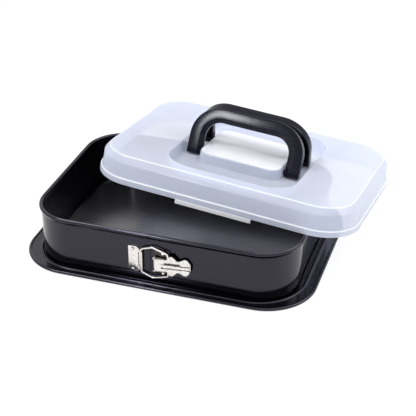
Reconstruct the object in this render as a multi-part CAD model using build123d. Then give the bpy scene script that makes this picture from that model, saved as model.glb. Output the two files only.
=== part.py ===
from build123d import *
import math
import os

# Rectangular springform baking pan with a serving base and a clear carrying lid.
# Millimetres. Z is up, X runs along the long side, and Y to the back.
# The origin is the centre of the underside of the base.
os.makedirs("parts", exist_ok=True)

SEAT = 0.3          # a piece that lies on another
LOOSE = 0.3         # a fixed piece inside a curved one
RUN = 0.06          # radial clearance of a pin that turns
SHEET = 0.9         # tinned sheet of base, band and clasp

# Side band, measured to the inner face of its wall
BAND_X = 171.6
BAND_Y = 121.9
BAND_R = 50.0
CURL_Z = 70.2
CURL_OUT = 1.1
CURL_R = 2.6
CURL_TAIL = 31.0    # how far the curl's tail leans, where it runs back to the wall
WALL_OUT = 0.9
SEAM_X = -8.0
SEAM_GAP = 1.0

# Base plate
BASE_X = 193.1
BASE_Y = 140.4
BASE_R = 66.5
ROLL_R = 2.0
ROLL_Z = 2.3
FLANGE_Z = 3.0
RIDGE_X = 177.7
RIDGE_Y = 129.1
RIDGE_R = 62.3
RIDGE_Z = 4.3
RIDGE_HALF = 0.7

# Clasp, on the front wall: out is the distance from the wall, up from the clasp's middle
CLASP_Z = 34.0
PLATE_T = 1.0
CATCH_LEFT = -37.0
CATCH_RIGHT = -22.5
CATCH_HALF = 18.0
HOOK_HALF = 13.2
HOOK_OUT = 5.2
HOOK_X = -19.8
WIRE_R = 1.2
RIVET_R = 1.4
RIVET_HEAD_R = 2.3
RIVET_HEAD_T = 1.0
RIVET_UP = 14.5
CATCH_RIVET_X = -31.0
BRACKET_RIVET_X = 8.8
BRACKET_LEFT = -3.4
BRACKET_RIGHT = 16.5
BRACKET_HALF = 19.0
PIVOT_X = -1.0
PIVOT_OUT = 5.4
PIN_R = 1.1
EAR_R = 1.9
EAR_UP = 7.8
LEVER_HALF = 9.0
LEVER_TILT = 6.5
LEVER_OUT = 2.3
LEVER_FLANGE = 0.9
LEVER_LENGTH = 46.8
ARM_LENGTH = 18.0
ARM_R = 3.0
HORN_AT = 21.8      # the lever's widest place, from its pivot
HORN_HALF = 14.2
WAIST_AT = 30.5
WAIST_HALF = 8.8
LOBE_AT = 39.5
LOBE_HALF = 12.0
LIP_HALF = 2.8
LIP_OUT = 2.7
LEVER_BEAD_HALF = 2.3
LEVER_BEAD_OUT = 0.9
LEVER_BEAD_LEFT = 9.0
LEVER_BEAD_RIGHT = 43.0
BAIL_X = 16.3
BAIL_OUT = 4.8
BAIL_TOP = 22.0
BAIL_END = 16.0
BAIL_TOP_X = -4.0
BAIL_SIDE = 19.4    # where its straight runs change slope, on the right
BAIL_SIDE_X = 6.0
BAIL_LOW = 17.8     # and on the left
BAIL_LOW_X = -17.2
BAIL_HOOK = 15.4

# Lid, in its own frame: Z is up from its lower edge
LID_X = 177.0
LID_Y = 129.1
LID_R = 55.4
LID_T = 1.6
SKIRT_Z = 7.7
LEDGE = 2.3
SHOULDER_Z = 27.3
SHOULDER_IN = 4.35
LID_TOP = 35.8
TOP_IN = 11.0
WELL_X = 86.5
WELL_Y = 101.0
WELL_R = 38.0
WELL_Z = 21.5
WELL_DRAFT = 2.0
ISLAND_X = 56.0
ISLAND_Y = 49.0
ISLAND_R = 16.0
ISLAND_DRAFT = 1.5

# The lid lies askew on the rim: where its frame is, and how it is turned
LID_AT = (58.47, 70.16, 66.2)
LID_TURN = -3.76
LID_ROLL = 4.25
LID_PITCH = -7.21

# Snap tabs under the long edges of the lid
TAB_HALF = 51.0
TAB_DROP = 6.0
TAB_HOOK = 2.6

# Carrying handles, from the line of their pivots
HANDLE_X = 78.2
HANDLE_BAR = 19.8
HANDLE_R = 41.0
HANDLE_T = 12.0
HANDLE_UP = 62.0
HANDLE_DOWN = 5.7
HANDLE_FOOT_R = 6.1
HANDLE_WALL = 2.2
HANDLE_LEAN = 17.8
HANDLE_BEVEL = 5.7      # the wide bevel round the opening, across the front face
HANDLE_BEVEL_IN = 5.0   # and how deep it goes
HANDLE_EDGE = 1.2
TRUNNION_R = 3.0
TRUNNION_X = 53.5
PIVOT_Z = 28.0
RIB_T = 1.6
RIB_PITCH = 20.0    # of the ribs in the bar's hollow side
LEG_RIB_UP = (16.0, 28.0)


def slab(half_x, half_y, radius, low, high):
    """A rounded rectangle from one level to another."""
    flat = RectangleRounded(2 * half_x, 2 * half_y, radius)
    return Pos(0, 0, low) * extrude(flat, high - low)


def grown(half_x, half_y, radius, out, level):
    """A rounded rectangle, grown outwards, at a level."""
    flat = RectangleRounded(2 * (half_x + out), 2 * (half_y + out), radius + out)
    return Pos(0, 0, level) * flat


def taper(half_x, half_y, radius, low, out_low, high, out_high):
    """A rounded block whose size changes from one level to another."""
    first = grown(half_x, half_y, radius, out_low, low)
    last = grown(half_x, half_y, radius, out_high, high)
    return loft([first, last], ruled=True)


def ring_path(half_x, half_y, radius):
    """A closed rounded rectangle that starts in the middle of the front."""
    along_x = half_x - radius
    along_y = half_y - radius
    front_left = Line((0, -half_y), (-along_x, -half_y))
    turn_1 = RadiusArc((-along_x, -half_y), (-half_x, -along_y), radius)
    left = Line((-half_x, -along_y), (-half_x, along_y))
    turn_2 = RadiusArc((-half_x, along_y), (-along_x, half_y), radius)
    back = Line((-along_x, half_y), (along_x, half_y))
    turn_3 = RadiusArc((along_x, half_y), (half_x, along_y), radius)
    right = Line((half_x, along_y), (half_x, -along_y))
    turn_4 = RadiusArc((half_x, -along_y), (along_x, -half_y), radius)
    front_right = Line((along_x, -half_y), (0, -half_y))
    edges = [front_left, turn_1, left, turn_2, back, turn_3, right, turn_4, front_right]
    return Wire([piece.edge() for piece in edges])


def around(profile, half_x, half_y, radius):
    """Carry a profile, drawn as (outwards, up), round a rounded rectangle."""
    start = Plane(origin=(0, -half_y, 0), x_dir=(0, -1, 0), z_dir=(-1, 0, 0))
    return sweep(start * profile, path=ring_path(half_x, half_y, radius))


def flat_shape(points):
    """A closed flat shape through the given points."""
    return make_face(Polyline(*points, close=True))


def curl(centre_out, centre_up, outer, inner, end_angle):
    """The section of a rolled edge that starts at its inner side and goes over the top."""
    end = math.radians(end_angle)
    reach = 4 * outer
    gap = flat_shape([
        (centre_out, centre_up),
        (centre_out - reach, centre_up),
        (centre_out - reach, centre_up - reach),
        (centre_out + reach * math.cos(end), centre_up + reach * math.sin(end)),
    ])
    tube = Circle(outer) - Circle(inner)
    return Pos(centre_out, centre_up) * tube - gap


def wall_point(x, out, up):
    """A point on the clasp, from the front wall's outer face."""
    return (x, -(BAND_Y + WALL_OUT) - out, CLASP_Z + up)


def wall_block(x_low, x_high, out_low, out_high, up_low, up_high):
    """A block on the clasp, from the front wall's outer face."""
    size = (x_high - x_low, out_high - out_low, up_high - up_low)
    middle = wall_point((x_low + x_high) / 2, (out_low + out_high) / 2, (up_low + up_high) / 2)
    return Pos(*middle) * Box(*size)


def wall_plate(points, out_low, out_high):
    """A plate on the clasp, drawn as (x, up) points."""
    face = Plane(origin=wall_point(0, out_low, 0), x_dir=(1, 0, 0), z_dir=(0, -1, 0))
    return extrude(face * flat_shape(points), out_high - out_low)


def wall_pin(x, up, radius, out_low, out_high):
    """A round pin that stands out of the front wall."""
    face = Plane(origin=wall_point(x, out_low, up), x_dir=(1, 0, 0), z_dir=(0, -1, 0))
    return extrude(face * Circle(radius), out_high - out_low)


def upright(x, out, radius, low, high):
    """A round pin along the clasp's hinge lines."""
    return Pos(*wall_point(x, out, low)) * extrude(Circle(radius), high - low)


def make_base():
    ridge = (RIDGE_X, RIDGE_Y, RIDGE_R)
    rim = (BASE_X - ROLL_R, BASE_Y - ROLL_R, BASE_R - ROLL_R)
    flange = (rim[0] - ROLL_R, rim[1] - ROLL_R, rim[2] - ROLL_R)
    top = slab(*flange, 0, FLANGE_Z)
    top += taper(*ridge, FLANGE_Z, RIDGE_HALF + 1.3, RIDGE_Z, RIDGE_HALF)
    top -= taper(*ridge, SHEET, -RIDGE_HALF - 2.0, RIDGE_Z + 0.1, -RIDGE_HALF)
    under = slab(*flange, -1, FLANGE_Z - SHEET)
    under += taper(*ridge, FLANGE_Z - SHEET, RIDGE_HALF + 0.8, RIDGE_Z - SHEET, RIDGE_HALF - 0.4)
    under -= taper(*ridge, -1.1, -RIDGE_HALF - 2.14, RIDGE_Z, -RIDGE_HALF + 0.94)
    plate = top - under
    roll = curl(0, ROLL_Z, ROLL_R, ROLL_R - SHEET + 0.1, 235)
    edge = flat_shape([
        (-ROLL_R - 0.4, FLANGE_Z - SHEET),
        (-ROLL_R + 0.6, FLANGE_Z - SHEET + 0.1),
        (-ROLL_R + 0.6, FLANGE_Z),
        (-ROLL_R - 0.4, FLANGE_Z),
    ])
    roll = around(roll + edge, *rim)
    bead_out = -6.6
    bead = flat_shape([(bead_out, SHEET / 2), (bead_out, 2.2), (bead_out + 0.7, 2.9),
                       (bead_out + 1.9, 2.9), (bead_out + 2.6, 2.2), (bead_out + 2.6, SHEET / 2)])
    locating = around(bead, BAND_X, BAND_Y, BAND_R)
    return plate + roll + locating


def band_section():
    low = SHEET + SEAT
    lean = math.radians(CURL_TAIL)
    tail_out = CURL_OUT + CURL_R * math.cos(lean)
    tail_up = CURL_Z - CURL_R * math.sin(lean)
    tail_foot = tail_up - (tail_out - WALL_OUT) / math.tan(lean)
    inner = CURL_OUT - CURL_R
    sheet = flat_shape([
        (-0.2, low), (-0.2, 7.0), (WALL_OUT, 16.0), (WALL_OUT, tail_foot),
        (inner + SHEET, CURL_Z), (inner, CURL_Z), (WALL_OUT - SHEET, tail_foot - 0.4),
        (WALL_OUT - SHEET, 16.2), (-0.2 - SHEET, 7.2), (-0.2 - SHEET, low),
    ])
    hem = flat_shape([(-0.3, low), (0.4, low), (0.8, low + 0.4), (0.8, 5.6), (0.4, 6.0), (-0.3, 6.0)])
    tail = flat_shape([
        (WALL_OUT - 0.3, tail_foot - 0.5), (WALL_OUT, tail_foot), (tail_out, tail_up),
        (CURL_OUT, CURL_Z), (inner + SHEET / 2, CURL_Z),
    ])
    tail -= Pos(CURL_OUT, CURL_Z) * Circle(CURL_R - SHEET)
    return sheet + hem + tail + curl(CURL_OUT, CURL_Z, CURL_R, CURL_R - SHEET, 245)


def seam_cut():
    front = -BAND_Y
    return Pos(SEAM_X, front, CURL_Z / 2) * Box(SEAM_GAP, 16, 2 * CURL_Z)


def make_band():
    band = around(band_section(), BAND_X, BAND_Y, BAND_R)
    band -= seam_cut()
    inner = SHEET
    band += wall_block(SEAM_X + SEAM_GAP / 2, SEAM_X + 8, -inner - 0.8, -inner, -16, 21)
    band += wall_block(SEAM_X - 12, SEAM_X + 8, -inner - 0.8 - SEAT, -inner - SEAT, -16, 21)
    for x in (CATCH_RIVET_X, BRACKET_RIVET_X):
        for side in (-1, 1):
            band -= wall_pin(x, side * RIVET_UP, RIVET_R + LOOSE, -4, 2)
    return band


def make_rim_wire():
    wire = Pos(CURL_OUT, CURL_Z) * Circle(CURL_R - SHEET - LOOSE)
    ring = around(wire, BAND_X, BAND_Y, BAND_R)
    return ring - seam_cut()


def make_catch_plate():
    outline = [
        (CATCH_LEFT, -CATCH_HALF), (CATCH_RIGHT - 2, -CATCH_HALF), (CATCH_RIGHT, -HOOK_HALF - 2.4),
        (CATCH_RIGHT, CATCH_HALF - 3), (CATCH_RIGHT - 3, CATCH_HALF), (CATCH_LEFT, CATCH_HALF),
    ]
    back = SEAT
    front = SEAT + PLATE_T
    plate = wall_plate(outline, back, front)
    plate = fillet(plate.edges().filter_by(Axis.Y), 0.9)
    lip_x = HOOK_X + WIRE_R + LOOSE
    plate += wall_block(CATCH_RIGHT - 2, lip_x + PLATE_T, back, front, -HOOK_HALF, HOOK_HALF)
    plate += wall_block(lip_x, lip_x + PLATE_T, back, HOOK_OUT, -HOOK_HALF, HOOK_HALF)
    bend = Vector(*wall_point(lip_x + PLATE_T, back, 0))
    upright_edges = plate.edges().filter_by(Axis.Z)
    outer = [e for e in upright_edges if math.hypot(e.center().X - bend.X, e.center().Y - bend.Y) < 0.02]
    plate = fillet(outer, 0.9)
    for side in (-1, 1):
        plate -= wall_pin(CATCH_RIVET_X, side * RIVET_UP, RIVET_R + LOOSE, -1, 3)
    rib_z = (2 * HOOK_HALF) - 6
    plate += wall_block(CATCH_RIGHT - 1.3, CATCH_RIGHT - 0.5, front, front + 0.4, -rib_z / 2, rib_z / 2)
    return plate


def make_rivets(x):
    pieces = []
    face = SEAT + PLATE_T + SEAT
    inner = -SHEET - SEAT
    for side in (-1, 1):
        up = side * RIVET_UP
        rivet = wall_pin(x, up, RIVET_HEAD_R, face, face + RIVET_HEAD_T)
        rivet = fillet(rivet.edges().sort_by(Axis.Y)[0], 0.7)
        rivet += wall_pin(x, up, RIVET_R, inner - 0.5, face + 0.2)
        rivet += wall_pin(x, up, RIVET_HEAD_R, inner - 0.9, inner)
        pieces.append(rivet)
    return Compound(children=pieces)


def make_bracket():
    outline = [
        (BRACKET_LEFT, -BRACKET_HALF + 4), (BRACKET_LEFT + 4, -BRACKET_HALF),
        (BRACKET_RIGHT - 5, -BRACKET_HALF), (BRACKET_RIGHT, -BRACKET_HALF + 5),
        (BRACKET_RIGHT, BRACKET_HALF - 5), (BRACKET_RIGHT - 5, BRACKET_HALF),
        (BRACKET_LEFT + 4, BRACKET_HALF), (BRACKET_LEFT, BRACKET_HALF - 4),
    ]
    front = SEAT + PLATE_T
    bracket = wall_plate(outline, SEAT, front)
    bracket = fillet(bracket.edges().filter_by(Axis.Y), 2.0)
    for side in (-1, 1):
        low = min(side * EAR_UP, side * (EAR_UP - SHEET))
        ear = upright(PIVOT_X, PIVOT_OUT, EAR_R, low, low + SHEET)
        high = low + SHEET
        root = PIVOT_X + EAR_R + 4
        ear += wall_block(PIVOT_X - EAR_R, root, front - 0.2, PIVOT_OUT - 1.4, low, high)
        ear += wall_block(PIVOT_X - EAR_R, PIVOT_X + EAR_R, front - 0.2, PIVOT_OUT, low, high)
        bracket += ear
        bracket -= wall_pin(BRACKET_RIVET_X, side * RIVET_UP, RIVET_R + LOOSE, -1, 3)
    bracket -= upright(PIVOT_X, PIVOT_OUT, PIN_R + LOOSE, -EAR_UP - 1, EAR_UP + 1)
    return bracket


def make_pin():
    reach = LEVER_HALF + SEAT
    pin = upright(PIVOT_X, PIVOT_OUT, PIN_R, -reach - 0.5, reach + 0.5)
    for low in (-reach - 1.0, reach):
        pin += upright(PIVOT_X, PIVOT_OUT, PIN_R + 1.0, low, low + 1.0)
    return pin


def lever_frame():
    """The lever's own frame: X along it, Y inwards to the wall, Z up, at its pivot."""
    return Location(wall_point(PIVOT_X, PIVOT_OUT, 0)) * Rot(0, 0, LEVER_TILT)


def lever_plate(points, out_low, out_high):
    face = Plane(origin=(0, -out_low, 0), x_dir=(1, 0, 0), z_dir=(0, -1, 0))
    return extrude(face * flat_shape(points), out_high - out_low)


def lever_outline():
    horn_left = HORN_AT - 1.8
    horn_right = HORN_AT + 1.8
    falling = (horn_right + WAIST_AT - 1.5) / 2
    rising = (WAIST_AT + 1.5 + LOBE_AT - 1.5) / 2
    end = LEVER_LENGTH - LOBE_AT
    half = [
        (0.8, LEVER_HALF),
        (ARM_LENGTH - 0.4, LEVER_HALF),
        (ARM_LENGTH + 0.6, HORN_HALF - 1.0),
        (horn_left, HORN_HALF),
        (horn_right, HORN_HALF),
        (falling, (HORN_HALF + WAIST_HALF) / 2),
        (WAIST_AT - 1.5, WAIST_HALF),
        (WAIST_AT + 1.5, WAIST_HALF),
        (rising, (WAIST_HALF + LOBE_HALF) / 2),
        (LOBE_AT - 1.5, LOBE_HALF),
        (LOBE_AT + 1.5, LOBE_HALF),
        (LOBE_AT + end * 0.56, LOBE_HALF * 0.78),
        (LOBE_AT + end * 0.86, LOBE_HALF * 0.46),
        (LEVER_LENGTH, LIP_HALF - 0.8),
    ]
    return half + [(s, -up) for s, up in reversed(half)]


def make_lever():
    face = LEVER_OUT + SHEET
    lever = lever_plate(lever_outline(), LEVER_OUT, face)
    bail_s, bail_n = lever_hole()
    for side in (-1, 1):
        low = min(side * LEVER_HALF, side * (LEVER_HALF - SHEET))
        across = (face - LEVER_FLANGE) / 2
        arm = Pos(ARM_LENGTH / 2, -across, low + SHEET / 2) * Box(ARM_LENGTH, face + LEVER_FLANGE, SHEET)
        arm += Pos(0, 0, low) * extrude(Circle(ARM_R), SHEET)
        lever += arm
    along = (LEVER_BEAD_LEFT + LEVER_BEAD_RIGHT) / 2
    bead = Box(LEVER_BEAD_RIGHT - LEVER_BEAD_LEFT, 2 * LEVER_BEAD_OUT, 2 * LEVER_BEAD_HALF)
    bead = chamfer(bead.faces().sort_by(Axis.Y)[0].edges(), LEVER_BEAD_OUT * 0.6)
    lever += Pos(along, -face, 0) * bead
    lip = Box(1.0, LIP_OUT + 0.5, 2 * LIP_HALF)
    lever += Pos(LEVER_LENGTH - 0.5, -face - (LIP_OUT - 0.5) / 2, 0) * lip
    lever -= Pos(0, 0, -LEVER_HALF - 1) * extrude(Circle(PIN_R + RUN), 2 * LEVER_HALF + 2)
    lever -= Pos(bail_s, -bail_n, -LEVER_HALF - 1) * extrude(Circle(WIRE_R + RUN), 2 * LEVER_HALF + 2)
    return lever_frame() * lever


def lever_hole():
    """Where the bail's ends enter, along the lever and outwards of its pivot."""
    tilt = math.radians(LEVER_TILT)
    along = BAIL_X - PIVOT_X
    out = BAIL_OUT - PIVOT_OUT
    return (along * math.cos(tilt) - out * math.sin(tilt), along * math.sin(tilt) + out * math.cos(tilt))


def bail_path(end_up):
    hook_out = SEAT + PLATE_T + SEAT + WIRE_R
    slope = (BAIL_OUT - hook_out) / (BAIL_X - HOOK_X)
    corners = [
        (BAIL_X, end_up),
        (BAIL_X, BAIL_END),
        (BAIL_SIDE_X, BAIL_SIDE),
        (BAIL_TOP_X + 1, BAIL_TOP),
        (BAIL_TOP_X - 1, BAIL_TOP),
        (BAIL_LOW_X, BAIL_LOW),
        (HOOK_X, BAIL_HOOK),
    ]
    points = corners + [(x, -up) for x, up in reversed(corners)]
    return [wall_point(x, hook_out + slope * (x - HOOK_X), up) for x, up in points]


def make_bail():
    points = bail_path(5.6)
    path = FilletPolyline(*points, radius=1.6)
    start = Plane(origin=points[0], z_dir=(0, 0, 1))
    return sweep(start * Circle(WIRE_R), path=path.wire())


def lid_pose():
    return Pos(*LID_AT) * Rot(0, 0, LID_TURN) * Rot(0, LID_ROLL, 0) * Rot(LID_PITCH, 0, 0)


def lid_block(out, drop, low):
    """The lid's form, moved in by a wall's thickness for its hollow."""
    size = (LID_X, LID_Y, LID_R)
    skirt_top = SKIRT_Z - drop
    block = taper(*size, low, out, skirt_top, out - 0.8)
    block += taper(*size, skirt_top, out - 0.8 - LEDGE, SHOULDER_Z - drop * 0.6, out - SHOULDER_IN)
    return block + taper(*size, SHOULDER_Z - drop * 0.6, out - SHOULDER_IN, LID_TOP - drop, out - TOP_IN)


def make_lid():
    well = (WELL_X, WELL_Y, WELL_R)
    island = (ISLAND_X, ISLAND_Y, ISLAND_R)
    above = LID_TOP + 1
    outer = lid_block(0, 0, 0)
    hollow = lid_block(-LID_T, LID_T, -0.1)
    outer_well = taper(*well, WELL_Z, -WELL_DRAFT, LID_TOP + 0.01, 0)
    outer_well -= taper(*island, WELL_Z - 0.1, ISLAND_DRAFT, above, -0.1)
    inner_well = taper(*well, WELL_Z - LID_T, LID_T - WELL_DRAFT, above, LID_T)
    under_island = taper(*island, WELL_Z - LID_T - 0.1, ISLAND_DRAFT - LID_T, above, -LID_T - 0.1)
    shell = (outer - outer_well) - (hollow - (inner_well - under_island))
    for x in (-1, 1):
        for y in (-1, 1):
            hole = Pos(x * ISLAND_X, y * pivot_y(), PIVOT_Z) * Rot(0, 90, 0)
            shell -= hole * Cylinder(TRUNNION_R + RUN, 12)
    return lid_pose() * shell


def make_tab(side):
    low = -TAB_DROP
    middle = (TAB_DROP + SEAT) / 2
    plate = Pos(0, -LID_Y + LID_T / 2, -middle) * Box(2 * TAB_HALF, LID_T, TAB_DROP - SEAT)
    hook = flat_shape([(0, -0.8), (TAB_HOOK, -2.2), (TAB_HOOK, -2.8), (0, -5.0)])
    face = Plane(origin=(-TAB_HALF + 6, -LID_Y + LID_T, 0), x_dir=(0, 1, 0), z_dir=(1, 0, 0))
    plate += extrude(face * hook, 2 * TAB_HALF - 12)
    return lid_pose() * Rot(0, 0, 0 if side < 0 else 180) * plate


def pivot_y():
    """How far the pivots are from the middle, so that the raised handles just meet."""
    lean = math.radians(HANDLE_LEAN)
    return HANDLE_UP * math.sin(lean) + HANDLE_T / 2 * math.cos(lean) + SEAT / 2


def arch(inset):
    """The outline of a handle, with its wall taken off when inset."""
    outer_x = HANDLE_X - inset
    inner_x = HANDLE_X - HANDLE_BAR + inset
    top = HANDLE_UP - inset
    inner_top = HANDLE_UP - HANDLE_BAR + inset
    low = -HANDLE_DOWN - 20
    outside = RectangleRounded(2 * outer_x, 2 * (top - low), HANDLE_R - inset)
    inside = RectangleRounded(2 * inner_x, 2 * (inner_top - low), HANDLE_R - HANDLE_BAR + inset)
    flat = Pos(0, low) * outside - Pos(0, low) * inside
    keep = Pos(0, (HANDLE_UP - HANDLE_DOWN) / 2) * Rectangle(4 * HANDLE_X, HANDLE_UP + HANDLE_DOWN)
    return flat & keep


def bevelled(solid, inset, across, deep):
    """An arch with the wide bevel along its opening, on its front face."""
    front = solid.faces().sort_by(Axis.Y)[0]
    inner_x = HANDLE_X - HANDLE_BAR + inset + 0.01
    inner_top = HANDLE_UP - HANDLE_BAR + inset + 0.01
    opening = []
    for edge in front.edges():
        box = edge.bounding_box()
        if max(-box.min.X, box.max.X) < inner_x and box.max.Z < inner_top and box.max.Z > 0:
            opening.append(edge)
    return chamfer(opening, across, deep, reference=front)


def make_handle():
    """A handle that stands on its pivots, with its hollow side to the back."""
    face = Plane(origin=(0, HANDLE_T / 2, 0), x_dir=(1, 0, 0), z_dir=(0, -1, 0))
    body = bevelled(extrude(face * arch(0), HANDLE_T), 0, HANDLE_BEVEL, HANDLE_BEVEL_IN)
    front = body.faces().sort_by(Axis.Y)[0]
    rim = [e for e in front.edges() if e.bounding_box().max.X > HANDLE_X - 0.01
           or e.bounding_box().min.X < 0.01 - HANDLE_X or e.bounding_box().min.Z > HANDLE_UP - 0.01]
    body = chamfer(rim, HANDLE_EDGE)
    pocket = extrude(face * arch(HANDLE_WALL), HANDLE_T - HANDLE_WALL)
    thinner = HANDLE_WALL / 2
    pocket = bevelled(pocket, HANDLE_WALL, HANDLE_BEVEL - thinner, HANDLE_BEVEL_IN - thinner)
    pocket &= Pos(0, 0, HANDLE_UP / 2 + 5) * Box(4 * HANDLE_X, 4 * HANDLE_T, HANDLE_UP)
    for step in (-2, -1, 0, 1, 2):
        x = step * RIB_PITCH
        pocket -= Pos(x, 0, HANDLE_UP - HANDLE_BAR / 2) * Box(RIB_T, 2 * HANDLE_T, HANDLE_BAR)
    for side in (-1, 1):
        for up in LEG_RIB_UP:
            pocket -= Pos(side * (HANDLE_X - HANDLE_BAR / 2), 0, up) * Box(HANDLE_BAR, 2 * HANDLE_T, RIB_T)
    body -= pocket
    foot = Rot(0, 90, 0) * Cylinder(HANDLE_FOOT_R, 4 * HANDLE_X)
    above = Pos(0, 0, HANDLE_UP) * Box(4 * HANDLE_X, 4 * HANDLE_T, 2 * HANDLE_UP)
    body &= foot + above
    root = HANDLE_X - HANDLE_BAR + HANDLE_BEVEL / 2
    for side in (-1, 1):
        pin = Rot(0, 90, 0) * Cylinder(TRUNNION_R, root - TRUNNION_X)
        body += Pos(side * (root + TRUNNION_X) / 2, 0, 0) * pin
    return body


def place_handle(side):
    turn = 0 if side < 0 else 180
    return lid_pose() * Rot(0, 0, turn) * Pos(0, -pivot_y(), PIVOT_Z) * Rot(-HANDLE_LEAN, 0, 0)


def save(node, shape):
    export_step(shape, "parts/" + node + ".step")
    box = shape.bounding_box()
    print(node, len(shape.solids()), shape.is_valid, round(shape.volume), box.min, box.max)


def main():
    save("base_plate", make_base())
    save("side_band", make_band())
    save("rim_wire", make_rim_wire())
    save("catch_plate", make_catch_plate())
    save("catch_rivets", make_rivets(CATCH_RIVET_X))
    save("lever_bracket", make_bracket())
    save("bracket_rivets", make_rivets(BRACKET_RIVET_X))
    save("lever_pin", make_pin())
    save("clasp_lever", make_lever())
    save("wire_bail", make_bail())
    save("lid_shell", make_lid())
    save("front_tab", make_tab(-1))
    save("rear_tab", make_tab(1))
    save("front_handle", place_handle(-1) * make_handle())
    save("rear_handle", place_handle(1) * make_handle())


main()
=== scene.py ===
import math
import bmesh
import bpy
from mathutils import Matrix, Vector


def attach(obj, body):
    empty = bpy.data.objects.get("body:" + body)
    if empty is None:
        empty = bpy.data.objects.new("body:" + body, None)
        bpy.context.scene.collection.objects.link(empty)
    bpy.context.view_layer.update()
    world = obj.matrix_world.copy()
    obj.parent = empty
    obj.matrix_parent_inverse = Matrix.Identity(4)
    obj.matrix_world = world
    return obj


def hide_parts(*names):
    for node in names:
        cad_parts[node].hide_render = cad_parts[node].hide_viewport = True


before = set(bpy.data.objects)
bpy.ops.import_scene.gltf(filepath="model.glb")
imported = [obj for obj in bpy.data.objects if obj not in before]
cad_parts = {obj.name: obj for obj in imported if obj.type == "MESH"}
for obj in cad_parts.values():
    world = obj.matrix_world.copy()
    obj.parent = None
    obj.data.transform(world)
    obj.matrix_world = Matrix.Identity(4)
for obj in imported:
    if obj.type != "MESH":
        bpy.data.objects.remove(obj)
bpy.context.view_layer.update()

# The object's sizes are in millimetres, as in the CAD source, and piece() turns them into metres.
# Noise, bumps, floor, lamps and camera are in metres.
MM = 0.001
SECOND = 1              # index of a piece's second material

# Rounded rectangles that the sections follow: half length, half width, corner radius
WALL = (171.6, 121.9, 50.0)
RIDGE = (177.7, 129.1, 62.3)
RIM = (191.1, 138.4, 64.5)
LID = (177.0, 129.1, 55.4)
WELL = (86.5, 101.0, 38.0)
ISLAND = (56.0, 49.0, 16.0)
CORNER_STEPS = 18
SIDE_SHARES = (0.2, 0.4, 0.6, 0.8)
FRONT = Vector((0, -1))

SHEET = 0.9             # thickness of the steel of base and band
SEAM_X = -8.0           # the band's seam, under the clasp
SEAM_HALF = 0.3         # half the gap at the seam

# Clasp
WALL_Y = -122.8         # outer face of the front wall, which carries the clasp
CLASP_Z = 34.0          # the clasp's middle
PLATE_BACK = 0.3        # back and front faces of the two plates, out of the wall
PLATE_FRONT = 1.3
RIVET_UP = 14.5
PIN_X = -1.0            # the lever's pin: beside the clasp's middle, and out of the wall
PIN_OUT = 5.4
LEVER_TILT = 6.5        # degrees
HOOK_X = -19.8          # the bail's side in the hook, and its two ends in the lever's eyes
HOOK_OUT = 2.8
EYE_X = 16.3
EYE_OUT = 4.8

# Lid, with heights from its lower edge
LID_AT = (58.47, 70.16, 66.2)
LID_TURNS = (-3.76, 4.25, -7.21)        # degrees about z, y and x
LID_WALL = 1.6
LID_TOP = 35.8
WELL_FLOOR = 21.5
UNDER_TOP = LID_TOP - LID_WALL
UNDER_WELL = WELL_FLOOR - LID_WALL

# Handles, with heights from their pivots
HANDLE_X = 78.2         # half length
HANDLE_UP = 62.0        # height
HANDLE_BAR = 19.8       # width of the bar
HANDLE_T = 12.0         # thickness
HANDLE_R = 41.0         # outer radius of the corners
HANDLE_LEAN = 17.8      # degrees, towards each other
HANDLE_GAP = 0.15       # half the gap between their tops

# The pivots and their sockets, in the lid's frame
LEAN = math.radians(HANDLE_LEAN)
PIVOT_Y = HANDLE_UP * math.sin(LEAN) + HANDLE_T / 2 * math.cos(LEAN) + HANDLE_GAP
PIVOT_Z = 28.0
SOCKET_X = 56.6
SOCKET_R = 3.06
SOCKET_HALF = 4.0


def turned(z=0.0, y=0.0, x=0.0):
    """A turn about x, then y, then z, in degrees."""
    about_z = Matrix.Rotation(math.radians(z), 4, "Z")
    about_y = Matrix.Rotation(math.radians(y), 4, "Y")
    about_x = Matrix.Rotation(math.radians(x), 4, "X")
    return about_z @ about_y @ about_x


LID_POSE = Matrix.Translation(LID_AT) @ turned(*LID_TURNS)


# Sections and paths

def corner(before, here, after, radius, steps):
    """Points that round the corner at one point, between its neighbours."""
    most = 0.48         # of a side's length, so that two corners leave a little of it
    back, on = before - here, after - here
    reach = min(radius / math.tan(back.angle(on) / 2), back.length * most, on.length * most)
    first, last = here + back.normalized() * reach, here + on.normalized() * reach
    made = []
    for k in range(steps + 1):
        t = k / steps
        made.append(first * (1 - t) ** 2 + here * 2 * t * (1 - t) + last * t * t)
    return made


def soften(points, steps=4, closed=True):
    """Rounds the corners of a section. Each point is (a, b) or (a, b, radius)."""
    straight = math.pi - 0.02
    made = []
    count = len(points)
    for i, point in enumerate(points):
        before, here, after = (Vector(points[k % count][:2]) for k in (i - 1, i, i + 1))
        is_end = not closed and i in (0, count - 1)
        if len(point) > 2 and not is_end and (before - here).angle(after - here) <= straight:
            made += corner(before, here, after, point[2], steps)
        else:
            made.append(here)
    return [(p.x, p.y) for p in made]


def rounded_path(corners, radius, steps):
    """A path in space with its corners rounded."""
    made = [corners[0]]
    for before, here, after in zip(corners, corners[1:], corners[2:]):
        made += corner(before, here, after, radius, steps)
    made.append(corners[-1])
    return made


def arc(centre, radius, start, end, steps):
    """Points of an arc, with its angles in degrees."""
    made = []
    for k in range(steps + 1):
        angle = math.radians(start + (end - start) * k / steps)
        made.append((centre[0] + radius * math.cos(angle), centre[1] + radius * math.sin(angle)))
    return made


def heading(degrees):
    angle = math.radians(degrees)
    return Vector((math.cos(angle), math.sin(angle)))


def smooth(x):
    """A soft step from 0 to 1."""
    x = min(max(x, 0.0), 1.0)
    return x * x * (3 - 2 * x)


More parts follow.
